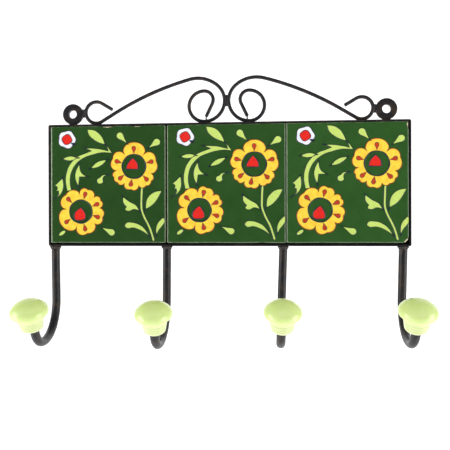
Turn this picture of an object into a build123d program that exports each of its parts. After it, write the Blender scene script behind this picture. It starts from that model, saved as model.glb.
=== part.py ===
from build123d import *

import os
from math import atan2, cos, degrees, radians, sin

# Wall hook rack: three ceramic tiles in a folded steel tray, two wire scrolls and two screw rings welded on
# its top edge, and four rod hooks with ceramic knobs welded under it.
# Millimetres. X runs along the rack, Y runs into the wall and Z is up. The origin is the centre of the
# tray's back face, which lies on the wall.

# Tray: sheet steel folded up into a rim all round, open to the front (-Y)
TRAY_WIDTH = 305.0
TRAY_HEIGHT = 104.0
TRAY_DEPTH = 8.0
SHEET = 1.2
TRAY_CORNER = 1.6
TRAY_TOP = TRAY_HEIGHT / 2
TRAY_BOTTOM = -TRAY_HEIGHT / 2

# Tiles: nominal 4 inch, laid by hand, so the joints differ a little
TILE_SIZE = 100.0
TILE_THICKNESS = 6.4
TILE_CENTRES = {"left": -100.7, "middle": 0.3, "right": 100.7}
TILE_RAISED = 0.55
TILE_FACE_ROUND = 1.0
TILE_CORNER_ROUND = 0.6
BED_SIZE = 92.0
BED_CORNER = 4.0
BED_THICKNESS = 0.8

# Rings, wire and rod all stand in one plane, mid-way through the tray's depth
IRON_PLANE = TRAY_DEPTH / 2
SIDES = {"left": -1, "right": 1}

# Screw rings
RING_X = {"left": -131.9, "right": 133.2}
RING_Z = 61.3
RING_RADIUS = 8.9
RING_HOLE_RADIUS = 3.6
RING_THICKNESS = 3.2
RING_ROUND = 0.9

# Scrolls: one wire each, mirror images, the pair standing slightly right of the tray's centre
PAIR_X = 0.9
WIRE_RADIUS = 1.5
WIRE_REST = TRAY_TOP + WIRE_RADIUS
TAIL_X = 17.4
TAIL_ANGLE = 115.7
TAIL_LENGTH = 12.0
INNER_CURL_RADIUS = 7.6
OUTER_CURL_RADIUS = 12.9
BIG_CURL_RADIUS = 17.3
BIG_CURL_END = 40.0
CREST_RADIUS = 26.3
CREST_END = 15.0
ARM_RADIUS = 247.0
ARM_END = 31.0
EYE_RADIUS = 9.15
EYE_SWEEP = 241.7
TIP_LENGTH = 10.9

# Hooks: round rod, straight down, forward round the bend and up into the knob
ROD_RADIUS = 3.5
BEND_RADIUS = 31.5
BEND_SWEEP = 96.8
TOE_RADIUS = 18.0
TOE_SWEEP = 61.7
NECK_GAP = 2.4
SPIGOT_LENGTH = 12.0
STEM_OVERRUN = 2.0
# name: place along the tray, length of the straight stem, then its sideways lean and its twist in degrees
HOOKS = {
    "far_left": (-147.8, 44.9, 0.7, 1.1),
    "mid_left": (-50.3, 45.7, -0.4, -0.8),
    "mid_right": (48.3, 43.6, -1.9, -0.4),
    "far_right": (146.7, 42.2, -1.5, 0.2),
}

# Weld collar round each stem
COLLAR_RADIUS = 4.4
COLLAR_HEIGHT = 3.4

# Knobs: a crown on a tapering neck. The crown's outline is a flat arc over the dome, a rounder arc down the
# brow to the widest point and a tight arc round the lip. Heights are from the foot of the neck, along the
# knob's axis.
KNOB_RADIUS = 14.5
KNOB_HEIGHT = 25.2
DOME_HEIGHT = 9.4
DOME_RADIUS = 17.5
BROW_RADIUS = (2 * DOME_RADIUS * DOME_HEIGHT - KNOB_RADIUS**2 - DOME_HEIGHT**2) / (
    2 * (DOME_RADIUS - KNOB_RADIUS)
)
DOME_TURN = degrees(atan2(KNOB_RADIUS - BROW_RADIUS, DOME_RADIUS - DOME_HEIGHT))
LIP_RADIUS = 4.6
LIP_SWEEP = 64.0
NECK_TOP_RADIUS = 10.4
NECK_TOP_HEIGHT = 10.7
NECK_FOOT_RADIUS = 8.1
NECK_FOOT_ROUND = 2.3
BORE_RADIUS = 4.0
BORE_DEPTH = 13.0
SAME_RADIUS = 0.01  # how close an edge's radius has to be to the one looked for

# Small welds: length, height, depth
BEAD_ROUNDING = 0.35  # corner radius as a share of the bead's shorter side
PAIR_WELD = (3.0, 9.0, 2.6)
RING_WELD = (4.4, 6.4, 2.6)
TACK_WELD = (1.4, 4.4, 1.6)
FOOT_WELD = (2.8, 0.8, 2.4)
FOOT_WELD_REACH = 3.4
RING_FOOT_WELD = (6.4, 1.1, 2.8)


def save(piece, label):
    """Label a finished piece and write it as its own STEP file."""
    piece.part.label = label
    export_step(piece.part, f"parts/{label}.step")


def upright_plane(depth):
    """A plane facing the room, a given depth in front of the wall, with X along the rack and Y up."""
    return Plane.XZ.offset(depth)


def weld_bead(place, size, *neighbours):
    """A bead at (x, z) in the iron's plane, with rounded edges, cut back to the faces of what it joins."""
    length, height, depth = size
    with BuildPart() as bead:
        with BuildSketch(upright_plane(IRON_PLANE - depth / 2)):
            with Locations(place):
                RectangleRounded(length, height, min(length, height) * BEAD_ROUNDING)
        extrude(amount=depth)
        for neighbour in neighbours:
            add(neighbour, mode=Mode.SUBTRACT)
    return bead


os.makedirs("parts", exist_ok=True)

# ---------------------------------------------------------------- tray
with BuildPart() as back_tray:
    with BuildSketch(Plane.XZ):
        RectangleRounded(TRAY_WIDTH, TRAY_HEIGHT, TRAY_CORNER)
    extrude(amount=TRAY_DEPTH)
    with BuildSketch(upright_plane(SHEET)):
        RectangleRounded(TRAY_WIDTH - 2 * SHEET, TRAY_HEIGHT - 2 * SHEET, TRAY_CORNER - SHEET)
    extrude(amount=TRAY_DEPTH, mode=Mode.SUBTRACT)
save(back_tray, "back_tray")

# ---------------------------------------------------------------- tiles and their beds
for name, centre in TILE_CENTRES.items():
    with BuildPart() as bed:
        with BuildSketch(upright_plane(SHEET)):
            with Locations((centre, TILE_RAISED)):
                RectangleRounded(BED_SIZE, BED_SIZE, BED_CORNER)
        extrude(amount=BED_THICKNESS)
    save(bed, f"tile_adhesive_{name}")

    with BuildPart() as tile:
        with BuildSketch(upright_plane(SHEET + BED_THICKNESS)):
            with Locations((centre, TILE_RAISED)):
                RectangleRounded(TILE_SIZE, TILE_SIZE, TILE_CORNER_ROUND)
        extrude(amount=TILE_THICKNESS)
        glazed_face = tile.faces().sort_by(Axis.Y)[0]
        fillet(glazed_face.edges(), TILE_FACE_ROUND)
    save(tile, f"tile_{name}")

# ---------------------------------------------------------------- scrolls
# The wire runs from the tail inside the curl, round the curl, up over the big curl and the crest, down the
# arm and round the eye to its tip. The tail starts at the height that lays the curl's foot on the tray.
TAIL_Z = (
    WIRE_REST
    + 2 * OUTER_CURL_RADIUS
    - INNER_CURL_RADIUS * (1 - cos(radians(TAIL_ANGLE)))
    - TAIL_LENGTH * sin(radians(TAIL_ANGLE))
)

scrolls = {}
for name, side in SIDES.items():
    with BuildPart() as scroll:
        with BuildLine(upright_plane(IRON_PLANE)):
            tail_heading = 90 + side * (TAIL_ANGLE - 90)
            tail = PolarLine((PAIR_X + side * TAIL_X, TAIL_Z), TAIL_LENGTH, tail_heading)
            inner_curl = JernArc(tail @ 1, tail % 1, INNER_CURL_RADIUS, -side * TAIL_ANGLE)
            outer_curl = JernArc(inner_curl @ 1, inner_curl % 1, OUTER_CURL_RADIUS, -side * 180)
            big_curl = JernArc(outer_curl @ 1, outer_curl % 1, BIG_CURL_RADIUS, -side * (180 - BIG_CURL_END))
            crest = JernArc(big_curl @ 1, big_curl % 1, CREST_RADIUS, -side * (BIG_CURL_END + CREST_END))
            arm = JernArc(crest @ 1, crest % 1, ARM_RADIUS, -side * (ARM_END - CREST_END))
            # the straight foot of the arm is as long as it takes for the eye to touch the tray
            eye_drop = EYE_RADIUS * (1 - cos(radians(ARM_END)))
            foot_length = ((arm @ 1).Z - WIRE_REST - eye_drop) / sin(radians(ARM_END))
            foot = Line(arm @ 1, arm @ 1 + (arm % 1) * foot_length)
            eye = JernArc(foot @ 1, foot % 1, EYE_RADIUS, side * EYE_SWEEP)
            Line(eye @ 1, eye @ 1 + (eye % 1) * TIP_LENGTH)
        with BuildSketch(Plane(origin=tail @ 0, z_dir=tail % 0)):
            Circle(WIRE_RADIUS)
        sweep()
    save(scroll, f"scroll_{name}")
    scrolls[name] = {
        "part": scroll.part,
        "tail": ((tail @ 0).X, (tail @ 0).Z),
        "curl_foot": (outer_curl @ 1).X,
        "eye_foot": eye.arc_center.X,
        "eye_height": eye.arc_center.Z,
        "eye_edge": eye.arc_center.X + side * (EYE_RADIUS + WIRE_RADIUS),
        "pair_height": big_curl.arc_center.Z,
    }

# ---------------------------------------------------------------- screw rings
rings = {}
for name in SIDES:
    with BuildPart() as ring:
        with BuildSketch(upright_plane(IRON_PLANE - RING_THICKNESS / 2)):
            with Locations((RING_X[name], RING_Z)):
                Circle(RING_RADIUS)
                Circle(RING_HOLE_RADIUS, mode=Mode.SUBTRACT)
        extrude(amount=RING_THICKNESS)
        outer_edges = ring.edges().filter_by(GeomType.CIRCLE).group_by(SortBy.RADIUS)[-1]
        fillet(outer_edges, RING_ROUND)
    save(ring, f"mounting_ring_{name}")
    rings[name] = ring.part

# ---------------------------------------------------------------- small welds along the top
pair_weld = weld_bead(
    (PAIR_X, scrolls["right"]["pair_height"]),
    PAIR_WELD,
    scrolls["left"]["part"],
    scrolls["right"]["part"],
)
save(pair_weld, "scroll_pair_weld")

for name, side in SIDES.items():
    scroll = scrolls[name]
    ring_edge = RING_X[name] - side * RING_RADIUS
    ring_weld = weld_bead(
        ((ring_edge + scroll["eye_edge"]) / 2, (RING_Z + scroll["eye_height"]) / 2),
        RING_WELD,
        scroll["part"],
        rings[name],
    )
    save(ring_weld, f"ring_weld_{name}")

    tail_x, tail_z = scroll["tail"]
    tack_weld = weld_bead((tail_x, (tail_z + WIRE_REST) / 2), TACK_WELD, scroll["part"])
    save(tack_weld, f"tail_tack_weld_{name}")

    with BuildPart() as foot_welds:
        with BuildSketch(upright_plane(IRON_PLANE - FOOT_WELD[2] / 2)):
            for foot_x in (scroll["curl_foot"], scroll["eye_foot"]):
                with Locations((foot_x, TRAY_TOP)):
                    with GridLocations(2 * FOOT_WELD_REACH, 0, 2, 1):
                        Rectangle(FOOT_WELD[0], FOOT_WELD[1], align=(Align.CENTER, Align.MIN))
        extrude(amount=FOOT_WELD[2])
        add(scroll["part"], mode=Mode.SUBTRACT)
    save(foot_welds, f"scroll_foot_welds_{name}")

    with BuildPart() as ring_foot_weld:
        with BuildSketch(upright_plane(IRON_PLANE - RING_FOOT_WELD[2] / 2)):
            with Locations((RING_X[name], TRAY_TOP + RING_FOOT_WELD[1] / 2)):
                Rectangle(RING_FOOT_WELD[0], RING_FOOT_WELD[1])
        extrude(amount=RING_FOOT_WELD[2])
        add(rings[name], mode=Mode.SUBTRACT)
    save(ring_foot_weld, f"ring_foot_weld_{name}")

# ---------------------------------------------------------------- hooks, their collars, knobs and cement
for name, (place, stem_length, lean, twist) in HOOKS.items():
    # the hook's own plane: X forward, Y up, leaned and twisted as the rod was set by hand
    forward = Vector(0, -1, 0).rotate(Axis.Z, twist).rotate(Axis.Y, -lean)
    sideways = Vector(-1, 0, 0).rotate(Axis.Z, twist).rotate(Axis.Y, -lean)
    stem_top = Vector(place, -IRON_PLANE, TRAY_BOTTOM)
    hook_plane = Plane(origin=stem_top, x_dir=forward, z_dir=sideways)

    with BuildPart() as hook:
        with BuildLine(hook_plane):
            stem = Line((0, STEM_OVERRUN), (0, -stem_length))
            bend = JernArc(stem @ 1, stem % 1, BEND_RADIUS, BEND_SWEEP)
            toe = JernArc(bend @ 1, bend % 1, TOE_RADIUS, TOE_SWEEP)
            seat = toe @ 1 + (toe % 1) * NECK_GAP
            spigot_end = seat + (toe % 1) * SPIGOT_LENGTH
            Line(toe @ 1, spigot_end)
        with BuildSketch(Plane(origin=stem @ 0, z_dir=stem % 0)):
            Circle(ROD_RADIUS)
        sweep()
        split(bisect_by=Plane.XY.offset(TRAY_BOTTOM), keep=Keep.BOTTOM)
    save(hook, f"hook_{name}")

    with BuildPart() as collar:
        with BuildSketch(hook_plane):
            with BuildLine():
                Polyline(
                    (ROD_RADIUS, -COLLAR_HEIGHT),
                    (ROD_RADIUS, STEM_OVERRUN),
                    (COLLAR_RADIUS, STEM_OVERRUN),
                    (COLLAR_RADIUS, -COLLAR_HEIGHT / 2),
                )
                RadiusArc((COLLAR_RADIUS, -COLLAR_HEIGHT / 2), (ROD_RADIUS, -COLLAR_HEIGHT), -COLLAR_HEIGHT)
            make_face()
        revolve(axis=Axis(stem_top, hook_plane.y_dir))
        split(bisect_by=Plane.XY.offset(TRAY_BOTTOM), keep=Keep.BOTTOM)
    save(collar, f"weld_collar_{name}")

    # the knob's section: X is the radius and Y is the height above the foot of the neck
    knob_axis = toe % 1
    section = Plane(origin=seat, x_dir=sideways, z_dir=sideways.cross(knob_axis))
    with BuildPart() as knob:
        with BuildSketch(section):
            with BuildLine():
                dome = JernArc((0, KNOB_HEIGHT), (1, 0), DOME_RADIUS, -DOME_TURN)
                brow = JernArc(dome @ 1, dome % 1, BROW_RADIUS, DOME_TURN - 90)
                lip = JernArc(brow @ 1, brow % 1, LIP_RADIUS, -LIP_SWEEP)
                Polyline(
                    lip @ 1,
                    (NECK_TOP_RADIUS, NECK_TOP_HEIGHT),
                    (NECK_FOOT_RADIUS, 0),
                    (BORE_RADIUS, 0),
                    (BORE_RADIUS, BORE_DEPTH),
                    (0, BORE_DEPTH),
                    (0, KNOB_HEIGHT),
                )
            make_face()
        revolve(axis=Axis(seat, knob_axis))
        foot_edges = knob.edges().filter_by(GeomType.CIRCLE).filter_by(
            lambda edge: abs(edge.radius - NECK_FOOT_RADIUS) < SAME_RADIUS
        )
        fillet(foot_edges, NECK_FOOT_ROUND)
    save(knob, f"knob_{name}")

    with BuildPart() as cement:
        with BuildSketch(section):
            with BuildLine():
                Polyline(
                    (ROD_RADIUS, 0),
                    (BORE_RADIUS, 0),
                    (BORE_RADIUS, BORE_DEPTH),
                    (0, BORE_DEPTH),
                    (0, SPIGOT_LENGTH),
                    (ROD_RADIUS, SPIGOT_LENGTH),
                    close=True,
                )
            make_face()
        revolve(axis=Axis(seat, knob_axis))
    save(cement, f"knob_cement_{name}")
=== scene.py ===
import math

import bmesh
import bpy
import numpy as np
from mathutils import Matrix, Vector
from mathutils.geometry import tessellate_polygon


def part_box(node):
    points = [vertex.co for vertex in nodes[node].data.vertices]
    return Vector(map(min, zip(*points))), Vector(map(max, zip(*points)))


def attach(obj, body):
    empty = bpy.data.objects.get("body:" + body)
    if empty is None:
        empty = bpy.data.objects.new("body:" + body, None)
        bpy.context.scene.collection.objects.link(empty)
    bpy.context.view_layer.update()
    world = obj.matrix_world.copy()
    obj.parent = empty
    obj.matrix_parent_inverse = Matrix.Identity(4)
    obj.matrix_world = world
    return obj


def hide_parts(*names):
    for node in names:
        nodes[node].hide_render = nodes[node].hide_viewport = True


# Looks of a wall hook rack: three glazed flower tiles in a black iron tray, two wire scrolls and two screw
# rings above, and four rod hooks with glazed knobs below. X runs along the rack, Y into the wall and Z is up.
# Shapes are worked out in millimetres and become metres when their mesh is made.

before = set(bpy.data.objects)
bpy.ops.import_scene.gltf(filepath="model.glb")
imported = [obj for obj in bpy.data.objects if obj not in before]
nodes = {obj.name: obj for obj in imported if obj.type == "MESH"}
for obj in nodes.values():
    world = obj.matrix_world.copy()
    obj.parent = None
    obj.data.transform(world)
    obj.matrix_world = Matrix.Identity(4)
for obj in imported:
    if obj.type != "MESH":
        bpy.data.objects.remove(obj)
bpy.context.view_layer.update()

MM = 0.001
HOOKS = ("far_left", "mid_left", "mid_right", "far_right")
SIDES = ("left", "right")
TILES = ("left", "middle", "right")
rng = np.random.default_rng(14)
HALF = 50.0  # half a tile's side
KNOB_TOP = 25.2  # height of a knob above its foot
GROOVES = (3.2, 5.4, 7.8)  # heights of the grooves turned in a knob's neck


# ---------------------------------------------------------------- materials
NOISE_ROUGHNESS = 0.55


class Paint:
    """A procedural material: its Principled shader, and short calls that add nodes to it."""

    def __init__(self, name, colour, roughness, **extra):
        self.material = bpy.data.materials.new(name)
        self.material.use_nodes = True
        self.tree = self.material.node_tree
        self.shader = self.tree.nodes["Principled BSDF"]
        self.material.diffuse_color = (*colour, 1)
        self.shader.inputs["Base Color"].default_value = (*colour, 1)
        self.shader.inputs["Roughness"].default_value = roughness
        for socket, value in extra.items():
            self.shader.inputs[socket.replace("_", " ")].default_value = value
        self.place = self.tree.nodes.new("ShaderNodeTexCoord").outputs["Object"]

    def node(self, kind, values=None, links=None, **settings):
        """Adds one node. Values set its input sockets, links feed them, and settings are its properties."""
        made = self.tree.nodes.new("ShaderNode" + kind)
        for name, value in settings.items():
            setattr(made, name, value)
        for socket, value in (values or {}).items():
            made.inputs[socket].default_value = value
        for socket, source in (links or {}).items():
            self.tree.links.new(source, made.inputs[socket])
        return made

    def noise(self, size_mm, detail=3.0):
        """Noise whose features are about size_mm across."""
        values = {"Scale": 1 / (size_mm * MM), "Detail": detail, "Roughness": NOISE_ROUGHNESS}
        return self.node("TexNoise", values, {"Vector": self.place}).outputs["Fac"]

    def cells(self, size_mm):
        """Distance to the edges of random cells about size_mm across."""
        values = {"Scale": 1 / (size_mm * MM)}
        found = self.node("TexVoronoi", values, {"Vector": self.place}, feature="DISTANCE_TO_EDGE")
        return found.outputs["Distance"]

    def span(self, source, low, high, to_low=0.0, to_high=1.0):
        """Maps low..high to to_low..to_high, held at both ends."""
        values = {"From Min": low, "From Max": high, "To Min": to_low, "To Max": to_high}
        return self.node("MapRange", values, {"Value": source}, clamp=True).outputs["Result"]

    def maths(self, operation, first, second=None):
        """One sum: the first term is a socket, and the second a socket or a number."""
        links = {0: first}
        values = {}
        if second is not None:
            target = values if isinstance(second, (int, float)) else links
            target[1] = second
        return self.node("Math", values, links, operation=operation).outputs[0]

    def mix(self, factor, first, second):
        """Mixes two colours, each a constant or a socket."""
        links = {0: factor}
        values = {}
        for socket, colour in ((6, first), (7, second)):
            if isinstance(colour, tuple):
                values[socket] = (*colour, 1)
            else:
                links[socket] = colour
        return self.node("Mix", values, links, data_type="RGBA").outputs[2]

    def colour(self, source):
        self.tree.links.new(source, self.shader.inputs["Base Color"])

    def rough(self, source):
        self.tree.links.new(source, self.shader.inputs["Roughness"])

    def bump(self, *heights):
        """Adds up bumps, each a (height socket, depth in millimetres) pair."""
        normal = None
        for height, depth_mm in heights:
            links = {"Height": height}
            if normal is not None:
                links["Normal"] = normal
            normal = self.node("Bump", {"Distance": depth_mm * MM, "Strength": 1.0}, links).outputs["Normal"]
        self.tree.links.new(normal, self.shader.inputs["Normal"])


def iron_paint():
    """Black stove enamel over forged iron: soft hammer marks, brown patches and rubbed spots."""
    paint = Paint("black_iron", (0.015, 0.014, 0.015), 0.34, Specular_IOR_Level=0.32)
    patches = paint.span(paint.noise(7.0, 4.0), 0.46, 0.66)
    colour = paint.mix(patches, (0.012, 0.012, 0.0145), (0.036, 0.025, 0.019))
    specks = paint.span(paint.noise(0.9, 2.0), 0.64, 0.74)
    paint.colour(paint.mix(specks, colour, (0.045, 0.034, 0.028)))
    paint.rough(paint.span(paint.noise(4.0, 3.0), 0.3, 0.7, 0.26, 0.44))
    paint.bump((paint.noise(3.2, 2.0), 0.10), (paint.noise(0.7, 2.0), 0.022))
    return paint.material


def green_glaze(name, left_highlight_mm, depth_of_colour):
    """Bottle green glaze with a pale line along the tile's edges, partly the glaze thinning there and partly
    a painted highlight. The width given in millimetres widens that line at the left edge, as a painted
    highlight of the light from the left.
    """
    paint = Paint(name, (0.018, 0.068, 0.012), 0.16, Coat_Weight=0.35, Coat_Roughness=0.08)
    clouds = paint.span(paint.noise(16.0, 3.0), 0.3, 0.7)
    shades = ((0.0155, 0.060, 0.0085), (0.0225, 0.076, 0.0135))
    deep, pale = (tuple(depth_of_colour * c for c in shade) for shade in shades)
    body = paint.mix(clouds, deep, pale)
    parts = paint.node("SeparateXYZ", links={0: paint.place}).outputs
    ragged = paint.span(paint.noise(3.0, 2.0), 0.3, 0.7, -0.25 * MM, 0.25 * MM)
    half = HALF * MM
    # The pale line round all edges: partly glaze thinning over the rounded edge, partly a painted highlight.
    away = paint.maths("MAXIMUM", paint.maths("ABSOLUTE", parts["X"]), paint.maths("ABSOLUTE", parts["Z"]))
    edge = paint.span(paint.maths("ADD", away, ragged), half - 0.85 * MM, half - 0.40 * MM)
    # A wider pale band at the left edge only: a painted highlight of the light from the left.
    leftward = paint.maths("MULTIPLY", parts["X"], -1.0)
    band = paint.span(
        paint.maths("ADD", leftward, ragged), half - (left_highlight_mm + 0.5) * MM, half - left_highlight_mm * MM
    )
    # Both masks lay the same pale colour: part thinned glaze, part painted highlight.
    glaze_break_and_highlight = paint.maths("MAXIMUM", edge, band)
    paint.colour(paint.mix(glaze_break_and_highlight, body, (0.17, 0.23, 0.13)))
    paint.bump((paint.noise(9.0, 2.0), 0.05), (paint.noise(1.4, 2.0), 0.006))
    return paint.material


def enamel(name, colour, deeper, share=0.6, grain_mm=3.0, roughness=0.2):
    """Painted glaze of one colour, pooled a little deeper in places."""
    paint = Paint(name, colour, roughness, Coat_Weight=0.25, Coat_Roughness=0.1)
    pools = paint.span(paint.noise(grain_mm, 4.0), 0.38, 0.70, 0.0, share)
    paint.colour(paint.mix(pools, colour, deeper))
    paint.bump((paint.noise(1.6, 2.0), 0.02), (paint.noise(0.5, 2.0), 0.005))
    return paint.material


def knob_glaze():
    """Pale lime glaze over a turned knob. The knob's axis is its local Z, and its foot is at zero."""
    paint = Paint("knob_glaze", (0.64, 0.77, 0.28), 0.24, Coat_Weight=0.3, Coat_Roughness=0.16)
    height = paint.node("SeparateXYZ", links={0: paint.place}).outputs["Z"]
    wander = paint.span(paint.noise(6.0, 3.0), 0.3, 0.7, -0.7 * MM, 0.7 * MM)
    level = paint.maths("ADD", height, wander)
    clouds = paint.span(paint.noise(5.0, 4.0), 0.35, 0.70)
    body = paint.mix(clouds, (0.625, 0.765, 0.255), (0.665, 0.79, 0.315))
    top = paint.span(level, 21.5 * MM, KNOB_TOP * MM, 0.0, 0.22)
    body = paint.mix(top, body, (0.55, 0.73, 0.16))
    neck = paint.span(level, 9.6 * MM, 12.0 * MM, 0.55, 0.0)
    body = paint.mix(neck, body, (0.67, 0.69, 0.38))
    for groove in GROOVES:
        away = paint.maths("ABSOLUTE", paint.maths("SUBTRACT", height, groove * MM))
        dark = paint.span(away, 0.10 * MM, 0.60 * MM, 0.40, 0.0)
        body = paint.mix(dark, body, (0.36, 0.52, 0.11))
    rim = paint.span(level, 0.6 * MM, 2.0 * MM, 0.85, 0.0)
    paint.colour(paint.mix(rim, body, (0.78, 0.82, 0.56)))
    craze = paint.span(paint.cells(4.6), 0.0, 0.035)
    paint.bump((paint.noise(5.0, 2.0), 0.05), (craze, 0.004), (paint.noise(0.6, 2.0), 0.004))
    return paint.material


def gritty(name, colour, dusty, grain_mm, depth_mm):
    """Unglazed, granular stuff: bisque clay, mortar or cement."""
    paint = Paint(name, colour, 0.85)
    paint.colour(paint.mix(paint.span(paint.noise(grain_mm, 4.0), 0.35, 0.65), colour, dusty))
    paint.bump((paint.noise(grain_mm, 4.0), depth_mm), (paint.noise(grain_mm / 4, 2.0), depth_mm / 4))
    return paint.material


iron = iron_paint()
# The middle number is the width in millimetres of the painted highlight along each tile's left edge.
tile_glaze = {
    "left": green_glaze("tile_glaze_left", 1.5, 0.86),
    "middle": green_glaze("tile_glaze_middle", 0.8, 1.0),
    "right": green_glaze("tile_glaze_right", 0.8, 1.17),
}
lime = enamel("leaf_lime", (0.55, 0.70, 0.17), (0.45, 0.62, 0.11))
yellow = enamel("petal_yellow", (0.90, 0.67, 0.065), (0.88, 0.46, 0.035), share=0.8, grain_mm=4.0)
red = enamel("blossom_red", (0.74, 0.022, 0.014), (0.56, 0.016, 0.012))
brick = enamel("stamen_brick", (0.52, 0.048, 0.016), (0.36, 0.03, 0.012))
white = enamel("blossom_white", (0.84, 0.85, 0.95), (0.66, 0.70, 0.90))
navy = enamel("outline_navy", (0.007, 0.009, 0.022), (0.012, 0.016, 0.050), grain_mm=2.0, roughness=0.34)
bisque = gritty("bisque_body", (0.80, 0.70, 0.50), (0.66, 0.54, 0.36), 1.2, 0.12)
mortar = gritty("tile_adhesive", (0.42, 0.41, 0.38), (0.30, 0.29, 0.27), 2.0, 0.25)
cement = gritty("knob_cement", (0.55, 0.50, 0.42), (0.40, 0.36, 0.30), 1.0, 0.15)
knob_paint = knob_glaze()


# ---------------------------------------------------------------- pieces
MERGE = 0.002  # points nearer than this become one


def piece(name, points, faces, material, stands_for=(), centre=(0, 0, 0), turn=None, smooth=False):
    """Makes one mesh piece from points in millimetres about its centre, and ties it to the frame."""
    mesh = bpy.data.meshes.new(name)
    corners = [tuple(float(v) * MM for v in point) for point in points]
    mesh.from_pydata(corners, [], [tuple(map(int, face)) for face in faces])
    body = bmesh.new()
    body.from_mesh(mesh)
    bmesh.ops.remove_doubles(body, verts=body.verts, dist=MERGE * MM)
    bmesh.ops.recalc_face_normals(body, faces=body.faces)
    body.to_mesh(mesh)
    body.free()
    mesh.validate()
    made = bpy.data.objects.new(name, mesh)
    bpy.context.scene.collection.objects.link(made)
    made.matrix_world = Matrix.Translation(Vector(centre) * MM) @ (turn or Matrix.Identity(4))
    mesh.polygons.foreach_set("use_smooth", [smooth] * len(mesh.polygons))
    mesh.materials.append(material)
    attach(made, "root")
    if stands_for:
        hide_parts(*stands_for)
    return made


# ---------------------------------------------------------------- tiles
CORNER_ROUND = 0.9  # radius of a tile's corners, seen from the front
FACE_ROUND = 1.25  # radius of the edge between a tile's face and its sides
GLAZE = 0.35  # thickness of the glaze
SKIRT = 1.2  # how far the glaze runs down a tile's sides
GRID_BORDER, GRID_STEP, GRID_INNER = 7.0, 0.4, 36  # a tile's grid is fine near the edges, coarse between
CHIPPED = 0.15  # a chip deeper than this bares the clay
CLAY_GAP = 0.03  # keeps the clay's face just clear of the glaze's underside
LEAST_CLAY = 0.4  # the thinnest that the clay gets
BREAK_REACH = 3.9  # distance from a tile's corner to the edge of the break, along the diagonal
SHELF = 1.9  # width of the bare clay along the break
GONE, THROUGH = 9.0, 5.0  # a break's depth where no clay is left, and the least depth that counts as such


def node_box(name):
    """Lowest and highest corners of a CAD node, in millimetres."""
    low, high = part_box(name)
    return np.array(low) / MM, np.array(high) / MM


def tile_seed(name):
    """Sets each tile's waves apart from its neighbours'."""
    return 1.7 * (TILES.index(name) + 1)


def tile_frame(name):
    """A tile's centre along X and Z, its face's Y and its back's Y."""
    low, high = node_box("tile_" + name)
    return (low[0] + high[0]) / 2, (low[2] + high[2]) / 2, low[1], high[1]


def ripple(u, v, seed):
    """The glaze's gentle waves over the face, 0 to about 0.08 mm back from the highest point."""
    waves = np.sin(u / 9.3 + seed) * np.cos(v / 7.9 - seed) + 0.6 * np.sin(u / 5.1 - v / 6.3 + 2 * seed)
    return 0.04 + 0.025 * waves


def edge_wobble(u, v, seed):
    """How far the pressed edge stands in from true, up to about 0.2 mm."""
    return 0.10 + 0.05 * np.sin(u / 6.1 + seed) + 0.05 * np.cos(v / 4.7 + 2 * seed)


def grid_lines():
    """Where the lines of a tile's grid lie, from its centre; the outermost pair becomes the glaze's skirt."""
    fine = np.arange(0.0, GRID_BORDER, GRID_STEP)
    inner = np.linspace(GRID_BORDER, 2 * HALF - GRID_BORDER, GRID_INNER)
    lines = np.concatenate([fine, inner, 2 * HALF - fine[::-1]])
    return np.concatenate([[-SKIRT], lines, [2 * HALF + SKIRT]]) - HALF


def corner_break(u, v, reach):
    """Depth of a corner broken off at 45 degrees, at the lower right: a shelf of bare clay, then nothing."""
    inward = ((HALF - u) + (HALF + v)) / math.sqrt(2)
    past = reach + 0.25 * np.sin(2.1 * (u - v)) + 0.15 * np.sin(5.3 * (u - v)) - inward
    shelf = np.where(past < SHELF, 0.4 + 0.3 * past, GONE)
    return np.where(past > 0, shelf, 0.0)


def flake(u, v, centre, half_u, half_v, deep):
    """Depth of a shallow chip: an oval bite about a point on an edge."""
    across = ((u - centre[0]) / half_u) ** 2 + ((v - centre[1]) / half_v) ** 2
    ragged = 0.18 * np.sin(2.7 * u + 1.3 * v) + 0.12 * np.sin(6.1 * v - 4.3 * u)
    return np.where(across + ragged < 1.0, deep * (1.0 - 0.5 * across), 0.0)


# Each chip is its centre from the tile's own, its half-sizes along X and Z, and its depth.
CHIPS = {
    "left": [((0.0, 50.2), 5.6, 1.75, 0.55), ((25.0, 50.2), 5.2, 1.6, 0.55)],
    "middle": [((31.0, -50.2), 3.0, 0.9, 0.5)],
    "right": [((50.2, 46.6), 1.7, 3.4, 0.6)],
}


def chip_depth(name, u, v):
    """How much of a tile is missing at each point, for all its chips together."""
    depth = np.zeros_like(u)
    for chip in CHIPS[name]:
        depth = np.maximum(depth, flake(u, v, *chip))
    if name == "right":
        depth = np.maximum(depth, corner_break(u, v, BREAK_REACH))
    return depth


def slab(front, back, keep):
    """Points and faces of a closed slab between two grids of points, made only where keep is true."""
    rows, columns = front.shape[:2]
    points = np.concatenate([front.reshape(-1, 3), back.reshape(-1, 3)])
    under = rows * columns
    faces = []
    for i in range(rows - 1):
        for j in range(columns - 1):
            if not keep[i, j]:
                continue
            a, b = i * columns + j, (i + 1) * columns + j
            faces.append((a, b, b + 1, a + 1))
            faces.append((a + under, a + 1 + under, b + 1 + under, b + under))
            borders = (
                (a, b, i, j - 1),
                (b, b + 1, i + 1, j),
                (b + 1, a + 1, i, j + 1),
                (a + 1, a, i - 1, j),
            )
            for start, end, ni, nj in borders:
                outside = ni < 0 or nj < 0 or ni >= rows - 1 or nj >= columns - 1
                if outside or not keep[ni, nj]:
                    faces.append((end, start, start + under, end + under))
    return points, faces


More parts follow.
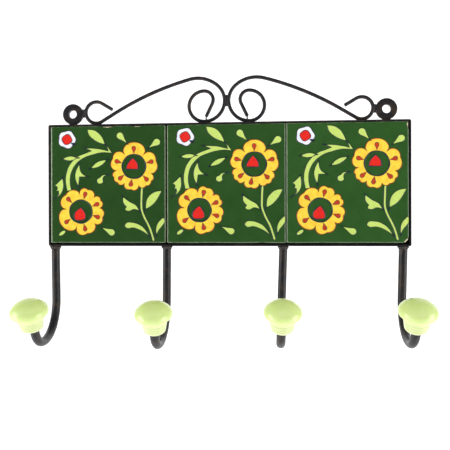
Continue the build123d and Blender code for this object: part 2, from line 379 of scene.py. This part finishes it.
def rounded_grid(corner):
    """Grid coordinates held to a square with rounded corners, and how far each lies inside the edge."""
    lines = grid_lines()
    raw_u, raw_v = np.meshgrid(lines, lines, indexing="ij")
    inside = HALF - np.maximum(np.abs(raw_u), np.abs(raw_v))
    u, v = np.clip(raw_u, -HALF, HALF), np.clip(raw_v, -HALF, HALF)
    flat = HALF - corner
    out_u, out_v = np.maximum(np.abs(u) - flat, 0), np.maximum(np.abs(v) - flat, 0)
    reach = np.hypot(out_u, out_v)
    pull = np.where((out_u > 0) & (out_v > 0) & (reach > corner), corner / np.maximum(reach, 1e-9), 1.0)
    u = np.sign(u) * (np.minimum(np.abs(u), flat) + out_u * pull)
    v = np.sign(v) * (np.minimum(np.abs(v), flat) + out_v * pull)
    return u, v, inside


def cell_means(values):
    """The mean of each grid cell's four corners."""
    return (values[:-1, :-1] + values[1:, :-1] + values[:-1, 1:] + values[1:, 1:]) / 4


def tile_pieces(name):
    """A tile as its bisque body and the glaze skin over its face and upper sides."""
    centre_x, centre_z, face_y, back_y = tile_frame(name)
    seed = tile_seed(name)
    u, v, inside = rounded_grid(CORNER_ROUND)
    shrink = 1 - edge_wobble(u, v, seed) / HALF * (np.maximum(np.abs(u), np.abs(v)) / HALF) ** 10
    u, v = u * shrink, v * shrink
    held = np.clip(inside, 0, FACE_ROUND)
    shoulder = FACE_ROUND - np.sqrt(FACE_ROUND**2 - (FACE_ROUND - held) ** 2)
    skin = face_y + ripple(u, v, seed) + shoulder + np.maximum(-inside, 0)
    chips = chip_depth(name, u, v)
    skin_grid = np.stack([u, skin, v], axis=-1)
    tuck = 1 - GLAZE / HALF
    under_grid = np.stack([u * tuck, skin + GLAZE, v * tuck], axis=-1)
    glazed = cell_means(chips) < CHIPPED
    points, faces = slab(skin_grid, under_grid, glazed)
    centre = (centre_x, 0.0, centre_z)
    glaze = tile_glaze[name]
    stands_for = ["tile_" + name]
    piece("tile_glaze_" + name, points, faces, glaze, stands_for, centre, smooth=True)

    depth = np.minimum(np.maximum(chips, GLAZE + CLAY_GAP), back_y - skin - LEAST_CLAY)
    whole = cell_means(chips) < THROUGH
    body_front = np.stack([u * tuck, skin + depth, v * tuck], axis=-1)
    body_back = np.stack([u * tuck, np.full_like(u, back_y), v * tuck], axis=-1)
    points, faces = slab(body_front, body_back, whole)
    piece("tile_body_" + name, points, faces, bisque, stands_for, centre)


# ---------------------------------------------------------------- lines of the painted pattern
def curve_through(points, closed=True, step=0.7):
    """A smooth line through points given as (x, y), or with a third value where there is a corner."""
    count = len(points)
    place = [np.array(p[:2], float) for p in points]

    def heading(i):
        if len(points[i]) > 2 or (not closed and i in (0, count - 1)):
            return None
        before, after = place[i] - place[i - 1], place[(i + 1) % count] - place[i]
        size_before, size_after = np.linalg.norm(before), np.linalg.norm(after)
        blend = before / size_before * size_after + after / size_after * size_before
        return blend / np.linalg.norm(blend)

    line = []
    for i in range(count if closed else count - 1):
        j = (i + 1) % count
        chord = place[j] - place[i]
        length = np.linalg.norm(chord)
        leave, arrive = heading(i), heading(j)
        out = chord if leave is None else leave * length
        into = chord if arrive is None else arrive * length
        if leave is None and arrive is not None:
            out = 1.5 * chord - 0.5 * into
        if arrive is None and leave is not None:
            into = 1.5 * chord - 0.5 * out
        steps = max(2, math.ceil(length / step))
        for k in range(steps):
            t = k / steps
            line.append(
                (1 + 2 * t) * (1 - t) ** 2 * place[i]
                + t * (1 - t) ** 2 * out
                + t * t * (3 - 2 * t) * place[j]
                + t * t * (t - 1) * into
            )
    if not closed:
        line.append(place[-1])
    return np.array(line)


def lens(start, end, thick):
    """A leaf with a point at each end."""
    start, end = np.array(start, float), np.array(end, float)
    along = end - start
    side = np.array([-along[1], along[0]]) / np.linalg.norm(along)
    steps = max(6, int(np.linalg.norm(along) / 0.9))
    t = np.linspace(0, 1, steps + 1)
    swell = thick / 2 * np.sin(np.pi * t) ** 0.85
    middle = start + t[:, None] * along
    upper = middle + swell[:, None] * side
    lower = middle - swell[:, None] * side
    return np.concatenate([upper, lower[-2:0:-1]])


def drop(tip, centre, radius):
    """A round end tapering to a tip."""
    tip, centre = np.array(tip, float), np.array(centre, float)
    axis = tip - centre
    far = np.linalg.norm(axis)
    facing = math.atan2(axis[1], axis[0])
    open_angle = math.acos(min(0.98, radius / far))
    turn = np.linspace(facing + open_angle, facing + 2 * math.pi - open_angle, 18)
    arc = centre + radius * np.stack([np.cos(turn), np.sin(turn)], axis=-1)
    waist_before = 0.5 * (tip + arc[-1]) + 0.06 * (centre - arc[-1])
    waist_after = 0.5 * (tip + arc[0]) + 0.06 * (centre - arc[0])
    return np.concatenate([[tip, waist_after], arc, [waist_before]])


def oval(centre, width, height, angle):
    """An oval, turned by an angle in degrees."""
    t = np.linspace(0, 2 * math.pi, 28, endpoint=False)
    x, y = width / 2 * np.cos(t), height / 2 * np.sin(t)
    cos, sin = math.cos(math.radians(angle)), math.sin(math.radians(angle))
    return np.stack([centre[0] + x * cos - y * sin, centre[1] + x * sin + y * cos], axis=-1)


def sides_of(line):
    """Unit vectors to the left of a closed line's direction, one at each of its points."""
    ahead = np.roll(line, -1, axis=0) - line
    ahead /= np.maximum(np.linalg.norm(ahead, axis=1, keepdims=True), 1e-9)
    mean = ahead + np.roll(ahead, 1, axis=0)
    mean /= np.maximum(np.linalg.norm(mean, axis=1, keepdims=True), 1e-9)
    return np.stack([-mean[:, 1], mean[:, 0]], axis=-1)


def stroke(points, width):
    """A stem of even width along a line, rounded off at its ends."""
    line = curve_through(points, closed=False, step=1.0)
    ahead = np.gradient(line, axis=0)
    ahead /= np.linalg.norm(ahead, axis=1, keepdims=True)
    side = np.stack([-ahead[:, 1], ahead[:, 0]], axis=-1)
    half = np.full(len(line), width / 2)
    half[[0, -1]] *= 0.5
    return np.concatenate([line + half[:, None] * side, (line - half[:, None] * side)[::-1]])


PETAL_REACH = 20.4  # from the flower's centre to a petal's outer edge
SCALLOP = 1.1  # how far the edge dips between a petal's lobes
SQUARENESS = 2.35  # 2 makes a petal's outline an ellipse, and more makes it squarer


def flower_outline(centre, bounds_deg, notches, lobes):
    """Points of a flower's outer edge and their angles. The petals lie between the bounds, where the edge
    dips to a notch, and each petal has its own count of lobes."""
    angles, radii = [], []
    for k, start in enumerate(bounds_deg):
        following = (k + 1) % len(bounds_deg)
        width = (start - bounds_deg[following]) % 360
        steps = max(12, int(width / 2.5))
        for t in np.linspace(-1, 1, steps, endpoint=False):
            share = (t + 1) / 2
            swell = (1 - abs(t) ** SQUARENESS) ** (1 / SQUARENESS)
            waves = abs(math.sin(lobes[k] * math.pi * share))
            base = notches[k] + (notches[following] - notches[k]) * share
            angles.append(math.radians(start - width * share))
            radii.append(base + (PETAL_REACH - base) * swell + SCALLOP * (waves - 1) * swell)
    angles = np.array(angles)
    return circle_at(centre, np.array(radii), angles), angles


def circle_at(centre, radius, angles):
    """Points at the given angles about a centre, at one radius or at a radius each."""
    return np.stack([centre[0] + radius * np.cos(angles), centre[1] + radius * np.sin(angles)], axis=-1)


# ---------------------------------------------------------------- the pattern
# Places are in millimetres from a tile's lower left corner.
# A third value of 1 is a corner, and 2 is a corner with a dark dab of the brush past it.
LEAVES = [
    [(32.3, 96.6, 1), (33.5, 92.6), (38.5, 87.6), (47.6, 83.8, 2), (45.2, 89.6), (39.5, 95.3)],
    [
        (25.2, 66.8, 2), (22.0, 60.5), (21.8, 54.5), (24.2, 48.8, 2), (25.2, 56.4, 1), (31.2, 56.6, 2),
        (27.3, 59.5),
    ],
    [
        (49.3, 57.8, 2), (45.6, 57.6), (43.3, 55.6, 1), (40.7, 53.8), (41.2, 51.2), (43.4, 50.4),
        (45.7, 51.6), (45.6, 54.6), (46.5, 56.6),
    ],
    [
        (10.3, 55.2, 2), (7.3, 52.2), (3.8, 49.2, 1), (6.0, 47.4), (4.9, 44.4, 1), (6.8, 44.9, 1),
        (7.2, 42.2), (3.6, 38.4, 2), (8.6, 41.6), (11.0, 47.2), (11.0, 51.4),
    ],
    [(96.2, 43.9, 1), (89.5, 42.6), (84.2, 37.5), (82.8, 28.8, 2), (88.5, 32.2), (92.2, 36.5)],
    [
        (63.3, 38.8, 2), (63.4, 34.2), (66.3, 30.6, 1), (65.2, 28.2), (68.0, 27.0), (72.5, 28.6),
        (77.0, 27.3, 2), (74.5, 31.5), (69.2, 34.6),
    ],
    [
        (85.4, 6.1, 2), (79.0, 14.2), (71.0, 17.2), (66.0, 16.8), (64.6, 14.6), (66.5, 12.6),
        (71.5, 12.9), (78.5, 10.6),
    ],
    [(91.8, 7.2, 2), (91.6, 12.5), (94.6, 18.6), (98.2, 20.9), (98.9, 18.9), (96.6, 14.2), (93.6, 10.6)],
    [
        (14.6, 44.6, 1), (13.2, 54.0), (16.2, 65.6), (23.3, 73.2), (31.8, 76.8), (36.2, 78.4, 1),
        (30.8, 80.7, 2), (40.5, 80.2), (50.6, 78.0, 1), (48.9, 83.1, 1), (53.7, 76.4, 1), (46.2, 77.0),
        (36.5, 75.2), (26.6, 71.2), (19.4, 63.4), (16.9, 54.0), (18.2, 44.9, 1),
    ],
]
POINTED = [((11.0, 71.8), (23.3, 72.5), 3.6), ((35.7, 63.8), (48.6, 70.4), 4.0)]
DROPS = [
    ((66.4, 84.8), (60.6, 91.0), 2.9),
    ((85.6, 80.6), (92.3, 85.2), 2.9),
    ((45.2, 12.7), (53.2, 8.9), 2.8),
]
SMALL_LEAF = ((10.0, 8.3), 6.5, 3.0, 35.0)
STEM = [(79.5, 46.7), (79.0, 36.7), (79.2, 28.3), (81.2, 22.5), (85.8, 13.3), (89.5, 1.7)]
STEM_WIDTH = 1.75
STAMEN_TIP, STAMEN_END, STAMEN_RADIUS = 10.8, 15.5, 1.75  # the first two from the flower's centre
# Bounds and stamens are in degrees from the X axis. Discs and notches are radii, and lobes are counts.
FLOWERS = [
    {
        "centre": (72.6, 64.8),
        "disc": 10.3,
        "bounds": (128, 50, -22, -76, -120, -168),
        "notches": (12.4, 12.4, 15.6, 16.4, 16.2, 15.2),
        "lobes": (1, 2, 3, 2, 3, 2),
        "stamens": (90, 15, -45, -100, -140, 163),
        "heart": [(71.5, 72.0, 1), (76.0, 66.0), (76.0, 62.5, 1), (66.0, 62.7, 1), (67.0, 66.5)],
    },
    {
        "centre": (26.5, 26.7),
        "disc": 10.0,
        "bounds": (171, 95, 47, 10, -41, -106),
        "notches": (12.8, 14.6, 16.4, 16.4, 15.4, 13.2),
        "lobes": (2, 2, 2, 2, 2, 1),
        "stamens": (136, 76, 24, -18, -76, -145),
        "heart": [(26.5, 30.2, 1), (30.4, 23.6), (30.2, 20.6), (26.4, 19.4), (21.2, 20.4), (20.7, 23.7)],
    },
]
ROSETTE = (14.4, 88.4)
ROSETTE_OUTER, ROSETTE_INNER = 7.4, 4.35
# How far the whole pattern is shifted on each tile.
SLIPS = {"left": (0.1, 0.3), "middle": (1.3, 1.1), "right": (1.7, 0.8)}
# Half the widths of the painted lines.
LEAF_LINE, PETAL_LINE, DISC_LINE, HEART_LINE, STAMEN_LINE = 0.28, 0.28, 0.62, 0.48, 0.30
ROSETTE_INNER_LINE, ROSETTE_OUTER_LINE = 0.42, 0.34
# How far the fillings stand above the glaze, how deep the paint reaches into it, and how high the lines are.
PROUD, SUNK, RIDGE = 0.12, 0.10, 0.20
STAMEN_LIFT, STAMEN_LINE_LIFT = 0.05, 0.03  # stamens lie on top of the petals
PATTERN_HALF = 49.4  # the paint stops here, just inside the tile's edge


class Relief:
    """Closed, slightly raised shapes of one colour on one tile, gathered into one mesh."""

    def __init__(self, name):
        self.centre_x, self.centre_z, self.face_y, _ = tile_frame(name)
        self.seed = tile_seed(name)
        self.points = []
        self.faces = []

    def lift(self, line, height):
        """Puts pattern points on the glaze, height millimetres proud of it."""
        u = np.clip(line[:, 0] - HALF, -PATTERN_HALF, PATTERN_HALF)
        v = np.clip(line[:, 1] - HALF, -PATTERN_HALF, PATTERN_HALF)
        y = self.face_y + ripple(u, v, self.seed) - height
        return np.stack([u, y, v], axis=-1)

    def plate(self, outline, proud=PROUD):
        """A filled shape."""
        count, start = len(outline), len(self.points)
        self.points.extend(self.lift(outline, proud))
        self.points.extend(self.lift(outline, -SUNK))
        corners = [Vector((float(x), float(y), 0.0)) for x, y in outline]
        for a, b, c in tessellate_polygon([corners]):
            self.faces.append((start + a, start + b, start + c))
            self.faces.append((start + count + c, start + count + b, start + count + a))
        for k in range(count):
            following = (k + 1) % count
            self.faces.append((start + k, start + count + k, start + count + following, start + following))

    def band(self, lines):
        """A closed tube through the given closed lines in turn, which all have the same number of points."""
        count, start, rings = len(lines[0]), len(self.points), len(lines)
        for line in lines:
            self.points.extend(line)
        for r in range(rings):
            here, there = start + r * count, start + (r + 1) % rings * count
            for k in range(count):
                following = (k + 1) % count
                self.faces.append((here + k, here + following, there + following, there + k))

    def ring(self, inner, outer):
        """A filled shape with a hole."""
        edges = ((inner, PROUD), (outer, PROUD), (outer, -SUNK), (inner, -SUNK))
        self.band([self.lift(line, height) for line, height in edges])

    def ridge(self, outline, half_width, tall=RIDGE):
        """A line drawn round an outline, thicker and thinner as a brush leaves it."""
        count = len(outline)
        length = np.linalg.norm(np.roll(outline, -1, axis=0) - outline, axis=1).sum()
        cycles = max(1, round(length / 11))
        turn = 2 * math.pi * np.arange(count) / count
        phase = rng.uniform(0, 2 * math.pi)
        width = half_width * (1 + 0.28 * np.sin(cycles * turn + phase))
        side = sides_of(outline) * width[:, None]
        foot, flank = -SUNK, 0.3 * tall
        across = [(-1.0, foot), (-0.9, flank), (-0.4, tall), (0.4, tall), (0.9, flank), (1.0, foot)]
        self.band([self.lift(outline + s * side, h) for s, h in across])

    def finish(self, name, material, slot):
        piece(name, self.points, self.faces, material, centre=(self.centre_x, 0.0, self.centre_z))


def dab(tip, back_point):
    """A brush dab leading away from a leaf's tip."""
    tip, back_point = np.array(tip, float), np.array(back_point, float)
    away = (tip - back_point) / np.linalg.norm(tip - back_point)
    length = rng.uniform(1.9, 2.9)
    return lens(tip - 0.7 * away, tip + length * away, rng.uniform(0.9, 1.3))


def pattern_pieces(name):
    """The painted pattern of one tile, one piece for each colour."""
    leaves, petals, hearts, stamens, pale, lines = (Relief(name) for _ in range(6))
    slip = SLIPS[name] + rng.uniform(-0.35, 0.35, 2)

    def moved(outline):
        return np.asarray(outline, float) + slip

    shapes = []
    dabs = []
    for points in LEAVES:
        shapes.append(curve_through(points))
        for k, point in enumerate(points):
            if len(point) > 2 and point[2] == 2:
                around = (np.array(points[k - 1][:2]) + np.array(points[(k + 1) % len(points)][:2])) / 2
                dabs.append(dab(point[:2], around))
    for start, end, thick in POINTED:
        shapes.append(lens(start, end, thick))
        dabs.append(dab(start, end))
        dabs.append(dab(end, start))
    for tip, centre, radius in DROPS:
        shapes.append(drop(tip, centre, radius))
        dabs.append(dab(tip, centre))
    shapes.append(oval(*SMALL_LEAF))
    shapes.append(stroke(STEM, STEM_WIDTH))
    for shape in shapes:
        leaves.plate(moved(shape))
        lines.ridge(moved(shape), LEAF_LINE)
    for shape in dabs:
        lines.plate(moved(shape), RIDGE)

    for flower in FLOWERS:
        centre = np.array(flower["centre"]) + slip
        outline, angles = flower_outline(centre, flower["bounds"], flower["notches"], flower["lobes"])
        disc = circle_at(centre, flower["disc"], angles)
        petals.ring(disc, outline)
        stamens.ridge(outline, PETAL_LINE)
        round_turn = np.linspace(0, 2 * math.pi, 60, endpoint=False)
        lines.ridge(circle_at(centre, flower["disc"], round_turn), DISC_LINE)
        heart = moved(curve_through(flower["heart"]))
        hearts.plate(heart)
        lines.ridge(heart, HEART_LINE)
        for angle in flower["stamens"]:
            reach = np.array([math.cos(math.radians(angle)), math.sin(math.radians(angle))])
            stamen = drop(centre + STAMEN_TIP * reach, centre + STAMEN_END * reach, STAMEN_RADIUS)
            stamens.plate(stamen, PROUD + STAMEN_LIFT)
            lines.ridge(stamen, STAMEN_LINE, RIDGE + STAMEN_LINE_LIFT)

    centre = np.array(ROSETTE) + slip
    angles = np.linspace(0, 2 * math.pi, 72, endpoint=False)
    outer = circle_at(centre, ROSETTE_OUTER * (1 + 0.06 * np.cos(5 * angles + 0.4)), angles)
    inner = circle_at(centre, ROSETTE_INNER * (1 + 0.05 * np.cos(4 * angles + 1.0)), angles)
    pale.ring(inner, outer)
    hearts.plate(inner)
    lines.ridge(inner, ROSETTE_INNER_LINE)
    lines.ridge(outer, ROSETTE_OUTER_LINE)
    shadow = lens(centre + (3.4, -3.2), centre + (8.0, -4.6), 2.0)
    lines.plate(shadow, RIDGE + 0.02)

    leaves.finish("leaves_" + name, lime, "leaf_lime")
    petals.finish("petals_" + name, yellow, "petal_yellow")
    hearts.finish("blossom_hearts_" + name, red, "blossom_red")
    stamens.finish("stamens_" + name, brick, "stamen_brick")
    pale.finish("rosette_" + name, white, "blossom_white")
    lines.finish("outlines_" + name, navy, "outline_navy")


# ---------------------------------------------------------------- knobs
# A knob's outline runs up a tapered neck, out under the crown, round its lip and brow, and over the dome.
KNOB_RADIUS = 14.5
DOME_RADIUS, DOME_FOOT, BROW_RADIUS, BROW_ANGLE = 17.5, 15.8, 5.06, 40.7
LIP_RADIUS, LIP_ANGLE = 4.6, 64.0
NECK_FOOT, NECK_TOP, NECK_HEIGHT, FOOT_ROUND = 8.1, 10.4, 10.7, 2.3
BORE_RADIUS, BORE_DEPTH = 4.0, 13.0
GROOVE_DEPTH, GROOVE_HALF = 0.14, 0.40
KNOB_SIDES = 96
PROFILE_STEP = 0.14
SHARP_ANGLE = 50.0  # edges sharper than this stay crisp
FOLD_REACH, FOLD_PASSES = 2.6, 60  # how far the fold under the crown is softened, and how often


def arc_points(centre, radius, start, end, count=16):
    """Points along an arc, its angles in degrees from the horizontal."""
    angles = np.radians(np.linspace(start, end, count))
    return np.stack([centre[0] + radius * np.cos(angles), centre[1] + radius * np.sin(angles)], axis=-1)


def knob_profile():
    """Radius and height of the knob's glazed outside, from its foot to the top of the dome."""
    rise = np.arange(0.0, NECK_HEIGHT, PROFILE_STEP)
    held = np.clip(FOOT_ROUND - rise, 0.0, None)
    radii = NECK_FOOT + (NECK_TOP - NECK_FOOT) * rise / NECK_HEIGHT
    radii += np.sqrt(FOOT_ROUND**2 - held**2) - FOOT_ROUND
    for groove in GROOVES:
        radii -= GROOVE_DEPTH * np.exp(-(((rise - groove) / GROOVE_HALF) ** 2))
    neck = np.stack([radii, rise], axis=-1)
    lip = arc_points((KNOB_RADIUS - LIP_RADIUS, DOME_FOOT), LIP_RADIUS, -LIP_ANGLE, 0.0)
    brow = arc_points((KNOB_RADIUS - BROW_RADIUS, DOME_FOOT), BROW_RADIUS, 0.0, BROW_ANGLE)
    dome = arc_points((0.0, KNOB_TOP - DOME_RADIUS), DOME_RADIUS, BROW_ANGLE, 90.0, 40)
    under = np.linspace((NECK_TOP, NECK_HEIGHT), lip[0], 12)
    line = np.concatenate([neck, under, lip[1:], brow[1:], dome[1:]])
    softened = line.copy()
    for _ in range(FOLD_PASSES):
        softened[1:-1] = (softened[:-2] + 2 * softened[1:-1] + softened[2:]) / 4
    fold = np.abs(line[:, 1] - NECK_HEIGHT) < FOLD_REACH
    return np.where(fold[:, None], softened, line)


def knob_stance(name):
    """The middle of a knob's foot in millimetres, and its axis, opposite to the way its flat foot faces."""
    node = nodes["knob_" + name]
    spin = node.matrix_world.to_3x3()
    shares = {}
    for face in node.data.polygons:
        facing = tuple(round(c, 3) for c in spin @ face.normal)
        shares[facing] = shares.get(facing, 0.0) + face.area
    axis = -Vector(max(shares, key=shares.get)).normalized()
    spots = np.unique(np.round([node.matrix_world @ v.co / MM for v in node.data.vertices], 3), axis=0)
    along = spots @ np.array(axis)
    foot = spots[along < along.min() + 0.02].mean(axis=0)
    return foot, axis


def knob_piece(name, seed):
    """A turned knob with its bore, the neck's grooves and a slight wobble."""
    foot, axis = knob_stance(name)
    bore = [(0.0, BORE_DEPTH), (BORE_RADIUS, BORE_DEPTH), (BORE_RADIUS, 0.0)]
    profile = np.concatenate([bore, knob_profile()])
    turn = np.linspace(0.0, 2 * math.pi, KNOB_SIDES, endpoint=False)
    wobble = 1 + 0.006 * np.cos(2 * turn + seed) + 0.004 * np.cos(3 * turn - 2 * seed)
    points = []
    for k, (radius, height) in enumerate(profile):
        swell = 1.0 if k < len(bore) else wobble
        rim = radius * swell * np.ones(KNOB_SIDES)
        level = np.full(KNOB_SIDES, height)
        points.extend(np.stack([rim * np.cos(turn), rim * np.sin(turn), level], axis=-1))
    faces = []
    for k in range(len(profile) - 1):
        for j in range(KNOB_SIDES):
            following = (j + 1) % KNOB_SIDES
            here, there = k * KNOB_SIDES, (k + 1) * KNOB_SIDES
            faces.append((here + j, here + following, there + following, there + j))
    spin = axis.to_track_quat("Z", "Y").to_matrix().to_4x4()
    stands_for = ["knob_" + name]
    made = piece(
        "knob_glazed_" + name, points, faces, knob_paint, stands_for, foot, spin, smooth=True
    )
    made.data.set_sharp_from_angle(angle=math.radians(SHARP_ANGLE))


# ---------------------------------------------------------------- welds
BEAD_GRAIN = 0.22  # size of the voxels that the blobs are melted with
BEAD_PITCH = 1.3  # distance between a bead's ripples
ISLAND_GAP = 2.0  # solids of one node stand further apart than this
# Rows of ripples round a stem: distance from its axis, depth below the tray, radius and count.
COLLAR_ROWS = ((3.35, 0.7, 1.45, 11), (2.95, 2.1, 1.15, 9))


def melted(name, blobs, stands_for):
    """A weld: overlapping blobs, each a centre and three radii in millimetres, melted into one skin."""
    body = bmesh.new()
    origin = np.mean([centre for centre, _ in blobs], axis=0)
    for centre, radii in blobs:
        place = Matrix.Translation(Vector((centre - origin) * MM)) @ Matrix.Diagonal((*(radii * MM), 1.0))
        bmesh.ops.create_icosphere(body, subdivisions=3, radius=1.0, matrix=place)
    rough_mesh = bpy.data.meshes.new(name + "_blobs")
    body.to_mesh(rough_mesh)
    body.free()
    made = bpy.data.objects.new(name, rough_mesh)
    bpy.context.scene.collection.objects.link(made)
    melt = made.modifiers.new("melt", "REMESH")
    melt.mode = "VOXEL"
    melt.voxel_size = BEAD_GRAIN * MM
    soften = made.modifiers.new("soften", "SMOOTH")
    soften.factor, soften.iterations = 0.5, 3
    skin = bpy.data.meshes.new_from_object(made.evaluated_get(bpy.context.evaluated_depsgraph_get()))
    made.modifiers.clear()
    made.data = skin
    bpy.data.meshes.remove(rough_mesh)
    made.location = Vector(origin * MM)
    skin.polygons.foreach_set("use_smooth", [True] * len(skin.polygons))
    skin.materials.clear()
    skin.materials.append(iron)
    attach(made, "root")
    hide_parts(*stands_for)


def islands(name):
    """Boxes of a CAD node's separate solids, which stand apart along X."""
    node = nodes[name]
    spots = np.array([node.matrix_world @ v.co / MM for v in node.data.vertices])
    spots = spots[np.argsort(spots[:, 0])]
    breaks = np.flatnonzero(np.diff(spots[:, 0]) > ISLAND_GAP) + 1
    return [(group.min(axis=0), group.max(axis=0)) for group in np.split(spots, breaks)]


def bead_blobs(low, high):
    """A row of ripples along a box's longer side, fuller at its ends, where the gap it fills is wider."""
    size = high - low
    run = 0 if size[0] > size[2] else 2
    count = max(3, round(size[run] / BEAD_PITCH))
    blobs = []
    for k in range(count):
        t = (k + 0.5) / count
        centre = (low + high) / 2
        centre[run] = low[run] + t * size[run]
        radii = size / 2 * (0.78 + 0.34 * abs(2 * t - 1)) * rng.uniform(0.92, 1.08)
        radii[run] = size[run] / count * 0.85
        blobs.append((centre, radii))
    return blobs


def collar_blobs(low, high):
    """Two rows of ripples round a stem, the upper one spread under the tray."""
    centre = (low + high) / 2
    blobs = []
    for reach, drop_mm, radius, count in COLLAR_ROWS:
        start = rng.uniform(0, 2 * math.pi)
        for k in range(count):
            angle = start + 2 * math.pi * k / count
            size = radius * rng.uniform(0.86, 1.1)
            x = centre[0] + reach * math.cos(angle)
            y = centre[1] + reach * math.sin(angle)
            blobs.append((np.array((x, y, high[2] - drop_mm)), np.array((size, size, 0.8 * size))))
    return blobs


def weld_pieces():
    """One lumpy bead for each solid of each weld."""
    for name in WELD_NODES:
        boxes = islands(name)
        shape = collar_blobs if name.startswith("weld_collar") else bead_blobs
        for k, (low, high) in enumerate(boxes):
            melted(f"bead_{name}_{k + 1}", shape(low, high), [name])


# ---------------------------------------------------------------- stage, light and camera
# The stage, the lights and the camera are placed in metres.
FLOOR = -0.80
FLOOR_FRONT, CURVE_START, CURVE_RADIUS, CURVE_STEPS = -2.2, 0.8, 0.6, 12
BACKDROP_TOP, BACKDROP_HALF_WIDTH = 2.6, 3.0
BACKDROP_GREY, BACKDROP_PALER, BACKDROP_GLOW = (0.82, 0.82, 0.82), (0.84, 0.84, 0.84), 0.60
SKY_COLOUR, SKY_STRENGTH = (0.95, 0.98, 1.0, 1), 0.14


def sweep():
    """A pale floor that curves up into a backdrop."""
    profile = [(FLOOR_FRONT, FLOOR), (CURVE_START, FLOOR)]
    for step in range(1, CURVE_STEPS + 1):
        angle = math.pi / 2 * step / CURVE_STEPS
        y = CURVE_START + CURVE_RADIUS * math.sin(angle)
        profile.append((y, FLOOR + CURVE_RADIUS * (1 - math.cos(angle))))
    profile.append((CURVE_START + CURVE_RADIUS, BACKDROP_TOP))
    sides = (-BACKDROP_HALF_WIDTH, BACKDROP_HALF_WIDTH)
    points = [(x, y, z) for y, z in profile for x in sides]
    faces = [(2 * k, 2 * k + 1, 2 * k + 3, 2 * k + 2) for k in range(len(profile) - 1)]
    mesh = bpy.data.meshes.new("backdrop")
    mesh.from_pydata(points, [], faces)
    made = bpy.data.objects.new("backdrop", mesh)
    bpy.context.scene.collection.objects.link(made)
    mesh.polygons.foreach_set("use_smooth", [True] * len(mesh.polygons))
    glow = {"Emission_Color": (1, 1, 1, 1), "Emission_Strength": BACKDROP_GLOW}
    paint = Paint("backdrop", BACKDROP_GREY, 0.9, **glow)
    grain = paint.span(paint.noise(400.0, 2.0), 0.3, 0.7)
    paint.colour(paint.mix(grain, BACKDROP_GREY, BACKDROP_PALER))
    mesh.materials.append(paint.material)


SIDE_SIZE, SIDE_RADIANCE, SIDE_AIM = (0.60, 1.10), 4.0, (0.0, 0.0, -0.04)
TOP_SIZE, TOP_RADIANCE, TOP_AIM = (1.30, 0.50), 3.0, (0.0, 0.0, -0.05)


def softbox(name, place, aim, size, radiance, mirrored=True):
    """A rectangular light of the given radiance at place, facing aim. Glazes mirror it if mirrored is set."""
    width, height = size
    light = bpy.data.lights.new(name, "AREA")
    light.shape = "RECTANGLE"
    light.size, light.size_y = width, height
    light.energy = radiance * math.pi * width * height
    made = bpy.data.objects.new(name, light)
    bpy.context.scene.collection.objects.link(made)
    made.location = place
    made.rotation_mode = "QUATERNION"
    made.rotation_quaternion = (Vector(aim) - Vector(place)).to_track_quat("-Z", "Y")
    made.visible_glossy = mirrored


CAMERA_PLACE = (0.04014, -0.500, -0.03342)
CAMERA_TURN = (-4.709, -0.099, -0.133)  # yaw, pitch and roll in degrees
LENS, SENSOR = 47.11, 36.0


def camera():
    """The camera stands half a metre off, a little above the tray's lower edge, turned slightly left."""
    yaw, pitch, roll = (math.radians(angle) for angle in CAMERA_TURN)
    ahead = Vector((math.sin(yaw) * math.cos(pitch), math.cos(yaw) * math.cos(pitch), math.sin(pitch)))
    level = Vector((math.cos(yaw), -math.sin(yaw), 0.0))
    over = level.cross(ahead)
    right = level * math.cos(roll) + over * math.sin(roll)
    up = over * math.cos(roll) - level * math.sin(roll)
    lens_data = bpy.data.cameras.new("camera")
    lens_data.lens = LENS
    lens_data.sensor_width = SENSOR
    lens_data.clip_start, lens_data.clip_end = 0.01, 50.0
    made = bpy.data.objects.new("camera", lens_data)
    bpy.context.scene.collection.objects.link(made)
    turn = Matrix((right, up, -ahead)).transposed().to_4x4()
    made.matrix_world = Matrix.Translation(CAMERA_PLACE) @ turn
    bpy.context.scene.camera = made


def world_light():
    """A faint, even, slightly cool light from all round."""
    world = bpy.data.worlds.new("studio")
    world.use_nodes = True
    sky = world.node_tree.nodes["Background"]
    sky.inputs["Color"].default_value = SKY_COLOUR
    sky.inputs["Strength"].default_value = SKY_STRENGTH
    bpy.context.scene.world = world


# ---------------------------------------------------------------- put it together
IRON_NODES = ["back_tray", "scroll_left", "scroll_right", "mounting_ring_left", "mounting_ring_right"]
IRON_NODES += ["hook_" + hook for hook in HOOKS]
TOP_WELDS = ("ring_weld", "tail_tack_weld", "ring_foot_weld")
WELD_NODES = ["scroll_pair_weld"]
WELD_NODES += [f"{kind}_{side}" for kind in TOP_WELDS for side in SIDES]
WELD_NODES += ["scroll_foot_welds_" + side for side in SIDES]
WELD_NODES += ["weld_collar_" + hook for hook in HOOKS]


def refinish(names, material):
    """Gives CAD nodes another material, and changes nothing else about them."""
    for name in names:
        for slot in nodes[name].material_slots:
            slot.link = "OBJECT"
            slot.material = material


refinish(IRON_NODES, iron)
refinish(["tile_adhesive_" + name for name in TILES], mortar)
refinish(["knob_cement_" + name for name in HOOKS], cement)
refinish(["knob_" + name for name in HOOKS], knob_paint)
refinish(WELD_NODES, iron)
for tile in TILES:
    tile_pieces(tile)
    pattern_pieces(tile)
for number, hook in enumerate(HOOKS):
    knob_piece(hook, 1.3 * number)
weld_pieces()
sweep()
world_light()
softbox("softbox_left", (-0.86, -0.34, -0.18), SIDE_AIM, SIDE_SIZE, SIDE_RADIANCE)
softbox("softbox_right", (0.92, -0.34, -0.18), SIDE_AIM, SIDE_SIZE, SIDE_RADIANCE)
softbox("softbox_top", (0.0, -0.55, 0.75), TOP_AIM, TOP_SIZE, TOP_RADIANCE, mirrored=False)
camera()
bpy.context.scene.view_settings.view_transform = "Standard"
